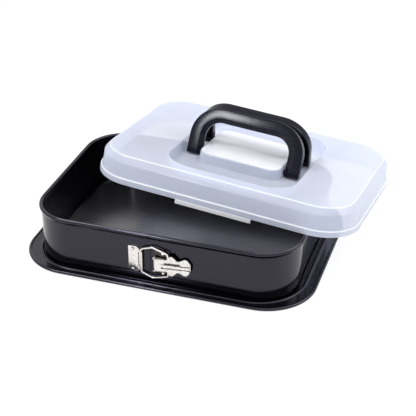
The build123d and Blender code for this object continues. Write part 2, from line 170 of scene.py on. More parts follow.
def stations(shape, out, start_x=0.0):
    """(point, outward direction) round a rounded rectangle, from start_x on its front."""
    half_x, half_y, radius = shape[0] + out, shape[1] + out, max(shape[2] + out, 0.05)
    in_x, in_y = half_x - radius, half_y - radius
    made = []
    sides = (
        ((start_x, -half_y), (in_x, -half_y), (in_x, -in_y), -90),
        ((half_x, -in_y), (half_x, in_y), (in_x, in_y), 0),
        ((in_x, half_y), (-in_x, half_y), (-in_x, in_y), 90),
        ((-half_x, in_y), (-half_x, -in_y), (-in_x, -in_y), 180),
    )
    for first, last, centre, angle in sides:
        for share in SIDE_SHARES if made else (0.0, *SIDE_SHARES):
            made.append((Vector(first).lerp(Vector(last), share), heading(angle)))
        for k in range(CORNER_STEPS + 1):
            facing = heading(angle + 90 * k / CORNER_STEPS)
            made.append((Vector(centre) + facing * radius, facing))
    # The rest of the front, from the last corner to start_x
    for share in (0.25, 0.5, 0.75):
        made.append((Vector((-in_x, -half_y)).lerp(Vector((start_x, -half_y)), share), FRONT))
    return made


def stack(parts):
    """Closed loops, one for each (out, level) of (shape, [(out, level), ...]) parts."""
    loops = []
    for shape, points in parts:
        for out, level in points:
            loops.append([Vector((p.x, p.y, level)) for p, facing in stations(shape, out)])
    return loops


# Meshes

def skin(rows):
    """A closed mesh over rows of points. Its faces go row by row, and its two ends come last."""
    bm = bmesh.new()
    made = [[bm.verts.new(p) for p in row] for row in rows]
    count = len(rows[0])
    for low, high in zip(made, made[1:]):
        for i in range(count):
            k = (i + 1) % count
            bm.faces.new((low[i], low[k], high[k], high[i]))
    bm.faces.new(list(reversed(made[0])))
    bm.faces.new(made[-1])
    return bm


def merged(*forms):
    """One mesh from several."""
    whole = bmesh.new()
    for form in forms:
        scrap = bpy.data.meshes.new("scrap")
        form.to_mesh(scrap)
        form.free()
        whole.from_mesh(scrap)
        bpy.data.meshes.remove(scrap)
    return whole


def painted(form):
    """Gives a form its piece's second material."""
    for face in form.faces:
        face.material_index = SECOND
    return form


def moved(bm, matrix):
    bmesh.ops.transform(bm, matrix=matrix, verts=bm.verts)
    return bm


def sharpened(bm, width, angle):
    """Rounds the edges that turn by more than an angle in degrees."""
    limit = math.radians(angle)
    edges = [e for e in bm.edges if len(e.link_faces) == 2 and e.calc_face_angle(0) > limit]
    bmesh.ops.bevel(bm, geom=edges, offset=width, segments=2, affect="EDGES", profile=0.5,
                    clamp_overlap=True)
    return bm


def block(low, high, width):
    """A box with rounded edges."""
    bm = bmesh.new()
    bmesh.ops.create_cube(bm, size=1)
    size = Vector(high) - Vector(low)
    middle = (Vector(high) + Vector(low)) / 2
    for v in bm.verts:
        v.co = Vector((v.co.x * size.x, v.co.y * size.y, v.co.z * size.z)) + middle
    return sharpened(bm, width, angle=35)


def between(first, last, width, angle):
    """A form between two equal outlines, with its edges rounded."""
    bm = skin([first, last])
    bmesh.ops.recalc_face_normals(bm, faces=bm.faces)
    return sharpened(bm, width, angle)


def plate(outline, low, high):
    """An outline (x, z) drawn out along y."""
    first = [Vector((a, low, b)) for a, b in outline]
    last = [Vector((a, high, b)) for a, b in outline]
    return between(first, last, width=0.2, angle=50)


def strip(outline, low, high, width):
    """An outline (x, y) drawn out along z."""
    first = [Vector((a, b, low)) for a, b in outline]
    last = [Vector((a, b, high)) for a, b in outline]
    return between(first, last, width, angle=60)


def lathe(profile, steps=28):
    """A round form about z through (radius, level) points."""
    rows = []
    for radius, level in profile:
        row = []
        for k in range(steps):
            a = 2 * math.pi * k / steps
            row.append(Vector((radius * math.cos(a), radius * math.sin(a), level)))
        rows.append(row)
    return skin(rows)


def tube(points, radius, steps):
    """A round wire through points, with flat ends."""
    rows = []
    side = None
    for i, point in enumerate(points):
        ahead = (points[min(i + 1, len(points) - 1)] - points[max(i - 1, 0)]).normalized()
        if side is None:
            side = ahead.orthogonal().normalized()
        side = (side - ahead * side.dot(ahead)).normalized()
        other = ahead.cross(side)
        row = []
        for k in range(steps):
            a = 2 * math.pi * k / steps
            row.append(point + (side * math.cos(a) + other * math.sin(a)) * radius)
        rows.append(row)
    return skin(rows)


def piece(name, bm, materials, body, nodes, angle=32):
    """Makes an object of a mesh in millimetres and sets it on its body."""
    bmesh.ops.recalc_face_normals(bm, faces=bm.faces)
    bmesh.ops.scale(bm, vec=(MM, MM, MM), verts=bm.verts)
    mesh = bpy.data.meshes.new(name)
    bm.to_mesh(mesh)
    bm.free()
    mesh.shade_smooth()
    mesh.set_sharp_from_angle(angle=math.radians(angle))
    for surface in materials:
        mesh.materials.append(surface)
    made = bpy.data.objects.new(name, mesh)
    bpy.context.scene.collection.objects.link(made)
    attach(made, body)
    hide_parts(*nodes)
    return made


# Materials

def material(name):
    made = bpy.data.materials.new(name)
    made.use_nodes = True
    nodes = made.node_tree.nodes
    return made, nodes, made.node_tree.links, nodes["Principled BSDF"]


def noise(nodes, links, scale, detail=3, stretch=(1, 1, 1)):
    """Noise over the piece's own coordinates."""
    place = nodes.new("ShaderNodeTexCoord")
    turn = nodes.new("ShaderNodeMapping")
    turn.inputs["Scale"].default_value = stretch
    links.new(place.outputs["Object"], turn.inputs["Vector"])
    made = nodes.new("ShaderNodeTexNoise")
    made.inputs["Scale"].default_value = scale
    made.inputs["Detail"].default_value = detail
    links.new(turn.outputs["Vector"], made.inputs["Vector"])
    return made.outputs["Fac"]


def ramp(nodes, links, source, first, last):
    """A colour between two (value, colour) stops."""
    made = nodes.new("ShaderNodeValToRGB")
    for element, (at, colour) in zip(made.color_ramp.elements, (first, last)):
        element.position = at
        element.color = (*colour, 1)
    links.new(source, made.inputs["Fac"])
    return made.outputs["Color"]


def spread(nodes, links, source, low, high):
    """Turns the middle of a noise's range into low to high."""
    made = nodes.new("ShaderNodeMapRange")
    made.inputs["From Min"].default_value = 0.3
    made.inputs["From Max"].default_value = 0.7
    made.inputs["To Min"].default_value = low
    made.inputs["To Max"].default_value = high
    links.new(source, made.inputs["Value"])
    return made.outputs["Result"]


def bump(nodes, links, source, height, before=None):
    made = nodes.new("ShaderNodeBump")
    made.inputs["Strength"].default_value = 1.0
    made.inputs["Distance"].default_value = height
    links.new(source, made.inputs["Height"])
    if before is not None:
        links.new(before, made.inputs["Normal"])
    return made.outputs["Normal"]


def larger(nodes, links, first, second):
    made = nodes.new("ShaderNodeMath")
    made.operation = "MAXIMUM"
    links.new(first, made.inputs[0])
    links.new(second, made.inputs[1])
    return made.outputs[0]


COAT_LOW = (0.0009, 0.0007, 0.0014)
COAT_HIGH = (0.0024, 0.0020, 0.0034)
COAT_TINT = (0.81, 0.78, 1.0)


def nonstick(name, gloss, roughness, index=1.5, low=COAT_LOW, high=COAT_HIGH, tint=COAT_TINT):
    """A dark coat with a fine grain and a slight orange peel."""
    made, nodes, links, shader = material(name)
    grain = noise(nodes, links, scale=900, detail=4)
    cloud = noise(nodes, links, scale=22)
    peel = noise(nodes, links, scale=160, detail=2)
    colour = ramp(nodes, links, grain, (0.30, low), (0.72, high))
    links.new(colour, shader.inputs["Base Color"])
    links.new(spread(nodes, links, cloud, *roughness), shader.inputs["Roughness"])
    rough = bump(nodes, links, grain, height=0.000001)
    links.new(bump(nodes, links, peel, height=0.000003, before=rough), shader.inputs["Normal"])
    shader.inputs["Specular IOR Level"].default_value = gloss
    shader.inputs["Specular Tint"].default_value = (*tint, 1)
    shader.inputs["IOR"].default_value = index
    return made


def steel(name, pale, deep, roughness):
    """Bare metal with a cloudy colour and a brushed surface."""
    made, nodes, links, shader = material(name)
    cloud = noise(nodes, links, scale=260, detail=4)
    brushed = noise(nodes, links, scale=700, stretch=(0.15, 1, 1))
    colour = ramp(nodes, links, cloud, (0.30, deep), (0.62, pale))
    links.new(colour, shader.inputs["Base Color"])
    shader.inputs["Metallic"].default_value = 1.0
    links.new(spread(nodes, links, brushed, *roughness), shader.inputs["Roughness"])
    uneven = bump(nodes, links, cloud, height=0.00006)
    links.new(bump(nodes, links, brushed, height=0.00002, before=uneven), shader.inputs["Normal"])
    return made


def clear_plastic(name, opacity, through, pale=(0.83, 0.87, 0.99)):
    """Milky plastic: see-through in part, and lit from behind in part."""
    made, nodes, links, shader = material(name)
    cloud = noise(nodes, links, scale=30)
    grain = noise(nodes, links, scale=1200, detail=2)
    duller = [c * 0.98 for c in pale]
    colour = ramp(nodes, links, cloud, (0.25, duller), (0.75, pale))
    links.new(colour, shader.inputs["Base Color"])
    links.new(spread(nodes, links, cloud, 0.16, 0.22), shader.inputs["Roughness"])
    links.new(spread(nodes, links, cloud, *opacity), shader.inputs["Alpha"])
    links.new(bump(nodes, links, grain, height=0.00001), shader.inputs["Normal"])
    shader.inputs["Specular IOR Level"].default_value = 0.6
    glow = nodes.new("ShaderNodeBsdfTranslucent")
    links.new(colour, glow.inputs["Color"])
    both = nodes.new("ShaderNodeMixShader")
    both.inputs[0].default_value = through
    links.new(shader.outputs[0], both.inputs[1])
    links.new(glow.outputs[0], both.inputs[2])
    links.new(both.outputs[0], nodes["Material Output"].inputs["Surface"])
    return made


def black_plastic():
    made, nodes, links, shader = material("black_plastic")
    grain = noise(nodes, links, scale=1500)
    cloud = noise(nodes, links, scale=60)
    colour = ramp(nodes, links, cloud, (0.3, (0.0018, 0.0014, 0.0060)), (0.7, (0.0034, 0.0027, 0.0110)))
    links.new(colour, shader.inputs["Base Color"])
    links.new(spread(nodes, links, grain, 0.12, 0.17), shader.inputs["Roughness"])
    links.new(bump(nodes, links, grain, height=0.00002), shader.inputs["Normal"])
    shader.inputs["Specular IOR Level"].default_value = 0.20
    shader.inputs["Specular Tint"].default_value = (0.90, 0.92, 1.0, 1)
    return made


COATED = nonstick("nonstick_steel", gloss=0.54, roughness=(0.11, 0.15))
COATED_INSIDE = nonstick("nonstick_inside", gloss=0.18, roughness=(0.18, 0.22))
COATED_FLOOR = nonstick("nonstick_floor", gloss=1.0, roughness=(0.23, 0.26), index=1.86,
                        low=(0.002, 0.0019, 0.0025), high=(0.004, 0.0037, 0.005),
                        tint=(0.99, 0.97, 1.0))
TINNED = steel("tinned_steel", (0.82, 0.79, 0.77), (0.68, 0.64, 0.61), (0.14, 0.26))
# Dark steel that paints shade over the whole bracket, which lies in shade and dark reflections behind
# the lever
PAINTED_SHADE_BRACKET_STEEL = steel("tinned_steel_painted_shade", (0.085, 0.077, 0.076), (0.035, 0.030, 0.030), (0.2, 0.34))
# Dark steel that paints shade: lines along the lever's bead and a band above it, a strip beside the
# catch's lip, and rings on the rivet domes' flanks
PAINTED_SHADE_STEEL = steel("tinned_steel_painted_shade_marks", (0.09, 0.08, 0.077), (0.045, 0.038, 0.037), (0.2, 0.34))
PLAIN = steel("plain_steel", (0.62, 0.60, 0.58), (0.48, 0.46, 0.44), (0.28, 0.42))
CLEAR = clear_plastic("clear_plastic", (0.615, 0.635), 0.28)
CLEAR_INSIDE = clear_plastic("clear_plastic_inside", (0.19, 0.21), 0.3)
# The island's top: paler and more opaque, painted light that lifts it out of the handles' shadow
CLEAR_ISLAND_LIT = clear_plastic("clear_plastic_island_painted_light", (0.84, 0.86), 0.10, (0.94, 0.95, 1.0))
# The lid's edges: paler and more opaque, a painted highlight along them, and in part the plastic seen
# edge-on
CLEAR_EDGE_HIGHLIGHT = clear_plastic("clear_plastic_edge_highlight", (0.84, 0.88), 0.10, (0.97, 0.98, 1.0))
CLEAR_THICK = clear_plastic("clear_plastic_thick", (0.90, 0.94), 0.04, (0.97, 0.97, 1.0))
BLACK = black_plastic()


# Base and band

def make_base():
    """The serving base, from the middle of its floor over the rim to the middle of its underside."""
    bead = soften([(-7.6, SHEET), (-6.7, SHEET, 0.5), (-6.4, 2.3, 0.6), (-5.3, 3.0, 0.9),
                   (-4.2, 2.3, 0.6), (-3.9, SHEET, 0.5), (-3.0, SHEET)], 4, False)
    ridge = soften([(-3.6, SHEET), (-2.7, SHEET, 1.2), (-1.5, 2.9)], 5, False)
    ridge += arc((0, 2.6), 1.7, 155, 20, 14) + [(2.0, 3.0), (4.0, 3.0)]
    roll = [(-3.4, 3.0), (-2.5, 3.0)] + arc((0, 2.3), 2.0, 158, -125, 26)
    roll += arc((0, 2.3), 1.2, -125, 175, 18) + [(-2.4, 2.1), (-3.4, 2.1)]
    under = soften([(4.0, 2.1), (1.5, 2.1, 1.0), (0.3, 3.4, 0.5), (-0.3, 3.4, 0.5), (-2.2, 0, 1.0),
                    (-4.0, 0)], 4, False)
    form = skin(stack([(WALL, bead), (RIDGE, ridge), (RIM, roll), (RIDGE, under)]))
    form.faces.ensure_lookup_table()
    pan_floor = form.faces[-2]
    pan_floor.material_index = SECOND
    return form


def make_band():
    """The band, from one side of its seam all the way round to the other."""
    inside = soften([(-1.1, 1.2, 0.2), (-1.1, 7.2, 6), (0, 20.2, 5), (0, 64.4, 2.0), (-1.5, 70.0)],
                    4, False)
    rolled_rim = arc((1.1, 70.2), 2.6, 180, -31, 26)
    outside = soften([(3.2, 68.65), (SHEET, 64.8, 0.5), (SHEET, 20, 5), (0.75, 1.7, 0.3),
                      (0.3, 1.2, 0.3), (-0.8, 1.2)], 4, False)
    section = inside + rolled_rim + outside
    path = stations(WALL, 0, SEAM_X + SEAM_HALF)
    path.append((Vector((SEAM_X - SEAM_HALF, -WALL[1])), FRONT))
    rows = [[Vector((p.x + n.x * out, p.y + n.y * out, up)) for out, up in section] for p, n in path]
    ring = skin(rows)
    for i, face in enumerate(list(ring.faces)[:-2]):
        if i % len(section) < len(inside) - 1:
            face.material_index = SECOND
    inner = WALL_Y + SHEET
    low, high = 18, 55
    near = block((SEAM_X + SEAM_HALF, inner, low), (0, inner + 0.8, high), 0.2)
    tongue = block((-20, inner + 0.3, low), (0, inner + 1.1, high), 0.25)
    return merged(ring, near, painted(tongue))


piece("base", make_base(), (COATED, COATED_FLOOR), "base", ["base_plate"])
piece("band", make_band(), (COATED, COATED_INSIDE), "band", ["side_band"])


# Clasp: its forms are made from its middle, as (x, distance out of the wall, height)

def on_wall(bm):
    return moved(bm, Matrix(((1, 0, 0, 0), (0, -1, 0, WALL_Y), (0, 0, 1, CLASP_Z), (0, 0, 0, 1))))


def sheet_run(path, thick, low, high):
    """A strip bent along a path (x, out), from one height to another."""
    left, right = [], []
    for i, here in enumerate(path):
        a = Vector(path[max(i - 1, 0)])
        b = Vector(path[min(i + 1, len(path) - 1)])
        ahead = (b - a).normalized()
        side = Vector((-ahead.y, ahead.x)) * thick / 2
        left.append(Vector(here) + side)
        right.append(Vector(here) - side)
    return strip(left + list(reversed(right)), low, high, 0.25)


def make_catch():
    """The left plate, with the lip that its hook is bent from and, beside the lip, a dark strip that
    paints its shadow.
    """
    outline = soften([(-37, -18, 1.2), (-24.5, -18, 1.6), (-22.5, -15.4, 1.6), (-22.5, 15, 1.6),
                      (-25.5, 18, 1.6), (-37, 18, 1.2)], 5)
    bend = [(-23.4, 0.8), (-20.2, 0.8)] + arc((-20.2, 3.2), 2.4, -90, 0, 8)[1:] + [(-17.8, 5.2)]
    lip = sheet_run(bend, 1.0, -13.2, 13.2)
    # Painted shadow: a thin dark block standing for the lip's shadow on the plate
    rib = painted(block((-23.9, 1.1, -10.2), (-22.9, 1.75, 10.2), 0.3))
    return merged(plate(outline, PLATE_BACK, PLATE_FRONT), lip, rib)


def rivet(x, up):
    """A rivet through plate and band. The flank of its dome has the second material, a ring of painted
    shade round the dome.
    """
    dome = lathe([(2.3, 1.6), (2.3, 1.85), (2.15, 2.15), (1.75, 2.4), (1.1, 2.56), (0.01, 2.6)])
    shank = lathe([(1.4, -1.7), (1.4, 1.7)], 20)
    foot = lathe([(0.01, -2.1), (1.8, -2.1), (2.2, -2.0), (2.3, -1.8), (2.3, -1.2)])
    form = merged(dome, shank, foot)
    # Painted shade: the dome's flank takes the dark steel
    for face in form.faces:
        middle = face.calc_center_median()
        if middle.z > 1.0 and middle.xy.length > 1.55:
            face.material_index = SECOND
    return moved(form, Matrix(((1, 0, 0, x), (0, 0, 1, 0), (0, -1, 0, up), (0, 0, 0, 1))))


def rivets(x):
    return on_wall(merged(rivet(x, -RIVET_UP), rivet(x, RIVET_UP)))


def make_bracket():
    """The right plate, with the two ears that hold the pin."""
    outline = soften([(-3.4, -15, 2), (0.6, -19, 2), (11.5, -19, 2.4), (16.5, -14, 2.4),
                      (16.5, 14, 2.4), (11.5, 19, 2.4), (0.6, 19, 2), (-3.4, 15, 2)], 5)
    ear = soften([(-2.9, 0.9), (4.9, 0.9), (4.9, 3.6, 0.8), (0.9, 4.4, 0.5)], 3)
    ear += arc((PIN_X, PIN_OUT), 1.9, -20, 180, 12)
    near, far = 6.9, 7.8
    return merged(plate(outline, PLATE_BACK, PLATE_FRONT), strip(ear, -far, -near, 0.15),
                  strip(ear, near, far, 0.15))


def make_pin():
    """The lever's pin, with a head at each end."""
    head = [(1.1, 9.3), (2.1, 9.35), (2.1, 9.8), (2.0, 10.1), (1.6, 10.3), (0.01, 10.3)]
    profile = [(radius, -level) for radius, level in reversed(head)] + head
    return moved(lathe(profile), Matrix.Translation((PIN_X, PIN_OUT, 0)))


piece("catch_plate_bent", on_wall(make_catch()), (TINNED, PAINTED_SHADE_STEEL), "band", ["catch_plate"])
piece("catch_rivet_pair", rivets(-31.0), (TINNED, PAINTED_SHADE_STEEL), "band", ["catch_rivets"])
# The bracket is all in painted shade
piece("bracket_bent", on_wall(make_bracket()), (PAINTED_SHADE_BRACKET_STEEL,), "band", ["lever_bracket"])
piece("bracket_rivet_pair", rivets(8.8), (TINNED, PAINTED_SHADE_STEEL), "band", ["bracket_rivets"])
piece("pin_turned", on_wall(make_pin()), (PLAIN,), "band", ["lever_pin"])


# Lever and bail. The lever's own frame starts at its pin: x along it, -y out of the wall, z up.

# (distance from the pin, half width) of the lever's edge
LEVER_EDGE = [(0.8, 9.0), (9.0, 9.0), (17.0, 9.0), (18.4, 12.8), (20.2, 14.2), (23.4, 14.2),
              (26.3, 11.5), (29.0, 8.8), (32.0, 8.8), (35.0, 10.4), (38.0, 12.0), (41.0, 12.0),
              (43.6, 9.4), (45.8, 5.6), (46.8, 2.0)]
LEVER_ROOT = LEVER_EDGE[0][0]
LEVER_END = LEVER_EDGE[-1][0]
LEVER_T = 0.9
LEVER_OUT = 2.75        # middle of the sheet, out from the pin
BEAD_FROM = 8.0
BEAD_TO = 46.5
BEAD_HALF = 1.7         # half the width of the bead's flat top
BEAD_RISE = 1.05
CURL_FROM = 43.4        # where the tip starts to curl
CURL_R = 2.9
CURL_TURN = 78          # degrees


def lever_half(s):
    """Half the lever's width at a distance from its pin, smooth through its edge points."""
    last = len(LEVER_EDGE) - 1
    s = min(max(s, LEVER_ROOT), LEVER_END)
    i = next(k for k in range(last) if s <= LEVER_EDGE[k + 1][0])
    before, here = LEVER_EDGE[max(i - 1, 0)], LEVER_EDGE[i]
    there, after = LEVER_EDGE[i + 1], LEVER_EDGE[min(i + 2, last)]
    span = there[0] - here[0]
    t = (s - here[0]) / span
    slope_here = (there[1] - before[1]) / max(there[0] - before[0], 0.1) * span
    slope_there = (after[1] - here[1]) / max(after[0] - here[0], 0.1) * span
    value = ((2 * t ** 3 - 3 * t ** 2 + 1) * here[1] + (t ** 3 - 2 * t ** 2 + t) * slope_here
             + (-2 * t ** 3 + 3 * t ** 2) * there[1] + (t ** 3 - t ** 2) * slope_there)
    low, high = sorted((here[1], there[1]))
    return min(max(value, low - 0.4), high + 0.4)


def lever_point(s, share, lift):
    """A point of the lever's sheet: s along it, share of its width across it, lift off its middle."""
    half = lever_half(s)
    up = share * half
    bead = smooth((s - BEAD_FROM) / 5.0) * smooth((BEAD_TO - s) / 3.0)
    bead *= 1 - smooth((abs(up) - BEAD_HALF) / 1.1)
    edge = smooth((abs(up) - half + 1.3) / 1.3)
    along, out, lean = s, LEVER_OUT + BEAD_RISE * bead - 0.5 * edge, 0.0
    if s > CURL_FROM:
        lean = (s - CURL_FROM) / (LEVER_END - CURL_FROM) * math.radians(CURL_TURN)
        along = CURL_FROM + CURL_R * math.sin(lean)
        out += CURL_R * (1 - math.cos(lean))
    return Vector((along - lift * math.sin(lean), -(out + lift * math.cos(lean)), up))


def lever_has_painted_shade(middle):
    """Whether a face takes painted shade: thin lines along the bead's sides, or a band above the bead.
    """
    on_front = middle.y < -2.4
    shade_beside_bead = 9 < middle.x < 46 and (1.8 < middle.z < 2.9 or -3.8 < middle.z < -1.7)
    shade_above_bead = 13 < middle.x < 33 and 1.8 < middle.z < 5.0
    return on_front and (shade_beside_bead or shade_above_bead)


def make_lever():
    """The lever's sheet with its raised bead and curled tip, and its two arms round the pin."""
    along_steps, across_steps = 92, 40
    lengths = [LEVER_ROOT + (LEVER_END - LEVER_ROOT) * k / along_steps for k in range(along_steps + 1)]
    shares = [math.sin(math.radians(-90 + 180 * k / across_steps)) for k in range(across_steps + 1)]
    rows = []
    for s in lengths:
        front = [lever_point(s, share, LEVER_T / 2) for share in shares]
        back = [lever_point(s, share, -LEVER_T / 2) for share in reversed(shares)]
        rows.append(front + back)
    sheet = skin(rows)
    # Painted shade: faces beside and above the bead take the dark steel
    for face in sheet.faces:
        if lever_has_painted_shade(face.calc_center_median()):
            face.material_index = SECOND
    arm = [(18.0, -2.6), (18.0, 0.4)] + soften([(18.0, 0.9, 0.6), (3.0, 0.9, 0.6)], 3, False)
    arm += arc((0, 0), 3.0, 20, 200, 14) + [(-2.2, -2.0), (-0.8, -2.7)]
    near, far = 8.1, 9.0
    whole = merged(sheet, strip(arm, -far, -near, 0.2), strip(arm, near, far, 0.2))
    return moved(whole, Matrix.Translation((PIN_X, WALL_Y - PIN_OUT, CLASP_Z)) @ turned(LEVER_TILT))


def make_bail():
    """The wire loop, from one end in the lever round the hook to the other."""
    corners = [(EYE_X, 5.6), (EYE_X, 16.0), (6.0, 19.4), (-3.0, 22.0), (-5.0, 22.0), (-17.2, 17.8),
               (HOOK_X, 15.4)]
    corners += [(x, -up) for x, up in reversed(corners)]
    slope = (EYE_OUT - HOOK_OUT) / (EYE_X - HOOK_X)
    path = [Vector((x, HOOK_OUT + slope * (x - HOOK_X), up)) for x, up in corners]
    return on_wall(tube(rounded_path(path, radius=2.4, steps=6), radius=1.2, steps=18))


piece("lever_sheet", make_lever(), (TINNED, PAINTED_SHADE_STEEL), "lever", ["clasp_lever"])
piece("bail_wire", make_bail(), (TINNED,), "bail", ["wire_bail"])


# Lid

# The outside has the first material, and the others go by these indices
LID_MATERIALS = (CLEAR, CLEAR_INSIDE, CLEAR_ISLAND_LIT, CLEAR_EDGE_HIGHLIGHT)
IS_INSIDE, IS_ISLAND, IS_HIGHLIT_EDGE = 1, 2, 3
ISLAND_ROWS = 2
# Rows of faces with a painted highlight, counted from the skirt's first loop: top edge, ledge and lower
# edge
HIGHLIT_EDGE_ROWS = (*range(4, 6), *range(25, 32), *range(33, 38))


def make_lid():
    """The lid, from the middle of its island down its outside and back up its inside."""
    middle = [
        (ISLAND, soften([(-4, LID_TOP), (0, LID_TOP, 2.2), (1.5, WELL_FLOOR, 1.8),
                         (4.5, WELL_FLOOR)], 6, False)),
        (WELL, soften([(-6, WELL_FLOOR), (-2, WELL_FLOOR, 2.4), (0, LID_TOP, 2.4),
                       (5, LID_TOP)], 6, False)),
    ]
    outside = middle + [
        (LID, soften([(-17, LID_TOP), (-11, LID_TOP, 4.0), (-4.35, 27.3, 4.5), (-3.1, 7.7, 1.1),
                      (-0.8, 7.7, 1.2), (0, 0, 0.5), (-0.8, 0)], 7, False)),
    ]
    inside = [
        (LID, soften([(-0.9, 0), (-1.6, 0, 0.4), (-2.4, 6.1, 0.7), (-4.7, 6.1, 0.7),
                      (-5.95, 26.3, 4.0), (-12.6, UNDER_TOP, 3.5), (-18, UNDER_TOP)], 5, False)),
        (WELL, soften([(6, UNDER_TOP), (1.3, UNDER_TOP, 1.6), (-0.4, UNDER_WELL, 3.2),
                       (-5, UNDER_WELL)], 5, False)),
        (ISLAND, soften([(4, UNDER_WELL), (-0.1, UNDER_WELL, 2.6), (-1.5, UNDER_TOP, 1.2),
                         (-5, UNDER_TOP)], 5, False)),
    ]
    rows = stack(outside + inside)
    around = len(rows[0])
    first_outer = sum(len(points) for shape, points in middle)
    first_inner = sum(len(points) for shape, points in outside)
    form = skin(rows)
    form.faces.ensure_lookup_table()
    for i, face in enumerate(form.faces[:-2]):
        row = i // around
        # The island's top takes painted light, and the edge rows a painted highlight
        if row >= first_inner:
            face.material_index = IS_INSIDE
        elif row < ISLAND_ROWS:
            face.material_index = IS_ISLAND
        elif row - first_outer in HIGHLIT_EDGE_ROWS:
            face.material_index = IS_HIGHLIT_EDGE
    form.faces[-1].material_index = IS_INSIDE
    form.faces[-2].material_index = IS_ISLAND
    return form


def cut_sockets(lid):
    """Cuts the four round holes that the handles turn in."""
    forms = []
    for x in (-SOCKET_X, SOCKET_X):
        for y in (-PIVOT_Y, PIVOT_Y):
            pin = lathe([(SOCKET_R, -SOCKET_HALF), (SOCKET_R, SOCKET_HALF)], 32)
            forms.append(moved(pin, Matrix.Translation((x, y, PIVOT_Z)) @ turned(0, 90, 0)))
    cutter_mesh = bpy.data.meshes.new("sockets")
    bm = moved(merged(*forms), Matrix.Scale(MM, 4) @ LID_POSE)
    bmesh.ops.recalc_face_normals(bm, faces=bm.faces)
    bm.to_mesh(cutter_mesh)
    bm.free()
    cutter = bpy.data.objects.new("sockets", cutter_mesh)
    bpy.context.scene.collection.objects.link(cutter)
    cut = lid.modifiers.new("cut", "BOOLEAN")
    cut.operation = "DIFFERENCE"
    cut.solver = "EXACT"
    cut.object = cutter
    bpy.context.view_layer.update()
    graph = bpy.context.evaluated_depsgraph_get()
    result = bpy.data.meshes.new_from_object(lid.evaluated_get(graph))
    lid.modifiers.clear()
    lid.data = result
    bpy.data.objects.remove(cutter)
    result.set_sharp_from_angle(angle=math.radians(32))


def make_tab():
    """A snap tab in the lid's frame: a strip below its lower edge, with a hook on the inside."""
    face = -127.5           # the strip's inner face, which the hook stands on
    middle_y, middle_z = -128.3, -3.15
    section = soften([(-129.1, -0.3, 0.3), (-129.1, -6.0, 0.5), (face, -6.0, 0.4), (face, -5.0, 0.3),
                      (-124.9, -2.8, 0.4), (-124.9, -2.2, 0.4), (face, -0.8, 0.4), (face, -0.3, 0.3)],
                     3)
    # (x, how far the end is drawn in, whether the hook is there)
    left = [(-51, 0.9, False), (-50.6, 0.35, False), (-50, 0, False), (-45.2, 0, False), (-45, 0, True)]
    right = [(-x, inset, hook) for x, inset, hook in reversed(left)]
    rows = []
    for x, inset, hook in left + right:
        row = []
        for y, z in section:
            if not hook:
                y = min(y, face)
            y = middle_y + (y - middle_y) * (1 - inset * 0.5)
            z = middle_z + (z - middle_z) * (1 - inset * 0.2)
            row.append(Vector((x, y, z)))
        rows.append(row)
    return skin(rows)


lid_piece = piece("lid_moulding", moved(make_lid(), LID_POSE), LID_MATERIALS, "lid", ["lid_shell"],
                  angle=40)
cut_sockets(lid_piece)
piece("front_tab_strip", moved(make_tab(), LID_POSE), (CLEAR_THICK,), "front_snap", ["front_tab"])
piece("rear_tab_strip", moved(make_tab(), LID_POSE @ turned(180)), (CLEAR_THICK,), "rear_snap",
      ["rear_tab"])


# Handles: an upright arch whose inner edge carries its section

INNER_X = HANDLE_X - HANDLE_BAR
INNER_TOP = HANDLE_UP - HANDLE_BAR
INNER_R = HANDLE_R - HANDLE_BAR
HOLLOW_FROM = 4.95      # the feet are solid below this height
HANDLE_WALL = 2.2
RIB_HALF = 0.8          # half a rib's thickness
UP = Vector((0, 1))


def arch_stations():
    """(point, outward direction) along the inner edge of a handle, from its left foot to its right."""
    corner_steps = 20
    made = []
    for z in (-5.7, -5.4, -4.8, -4.0, -3.0, -1.4, 1.5, 4.9, 5.0, 10, 15, INNER_TOP - INNER_R):
        made.append((Vector((-INNER_X, z)), Vector((-1, 0))))
    centre = Vector((-INNER_X + INNER_R, INNER_TOP - INNER_R))
    for k in range(1, corner_steps + 1):
        facing = heading(180 - 90 * k / corner_steps)
        made.append((centre + facing * INNER_R, facing))
    for x in (-25, -12):
        made.append((Vector((x, INNER_TOP)), UP))
    mirrored = [(Vector((-p.x, p.y)), Vector((-n.x, n.y))) for p, n in reversed(made)]
    return made + [(Vector((0, INNER_TOP)), UP)] + mirrored


def handle_section(pocket):
    """A section (across, depth), bevelled at its inner edge, and hollow down to a pocket's depth."""
    wide, half = HANDLE_BAR - 0.05, HANDLE_T / 2
    slope = min(pocket + 3.9, half - 0.4)
    return soften([(0, -1.0, 1.0), (5.7, -half, 1.2), (wide, -half, 1.7), (wide, half, 0.5),
                   (wide - HANDLE_WALL, half, 0.4), (wide - HANDLE_WALL, pocket, 0.5),
                   (6.8, pocket, 0.5), (HANDLE_WALL, slope, 0.5), (HANDLE_WALL, half, 0.2),
                   (0, half, 0.5)], 4)


def handle_rib(edge, out):
    """A rib across the hollow side, from a point on the inner edge outwards."""
    ahead = Vector((out.y, -out.x))
    far = HANDLE_BAR - 1.7
    outline = [(1.7, 0.0), (6.5, -4.2), (far, -4.2), (far, 5.8), (1.7, 5.8)]
    sides = []
    for along in (-RIB_HALF, RIB_HALF):
        side = []
        for across, depth in outline:
            point = edge + out * across + ahead * along
            side.append(Vector((point.x, depth, point.y)))
        sides.append(side)
    return between(*sides, width=0.15, angle=50)


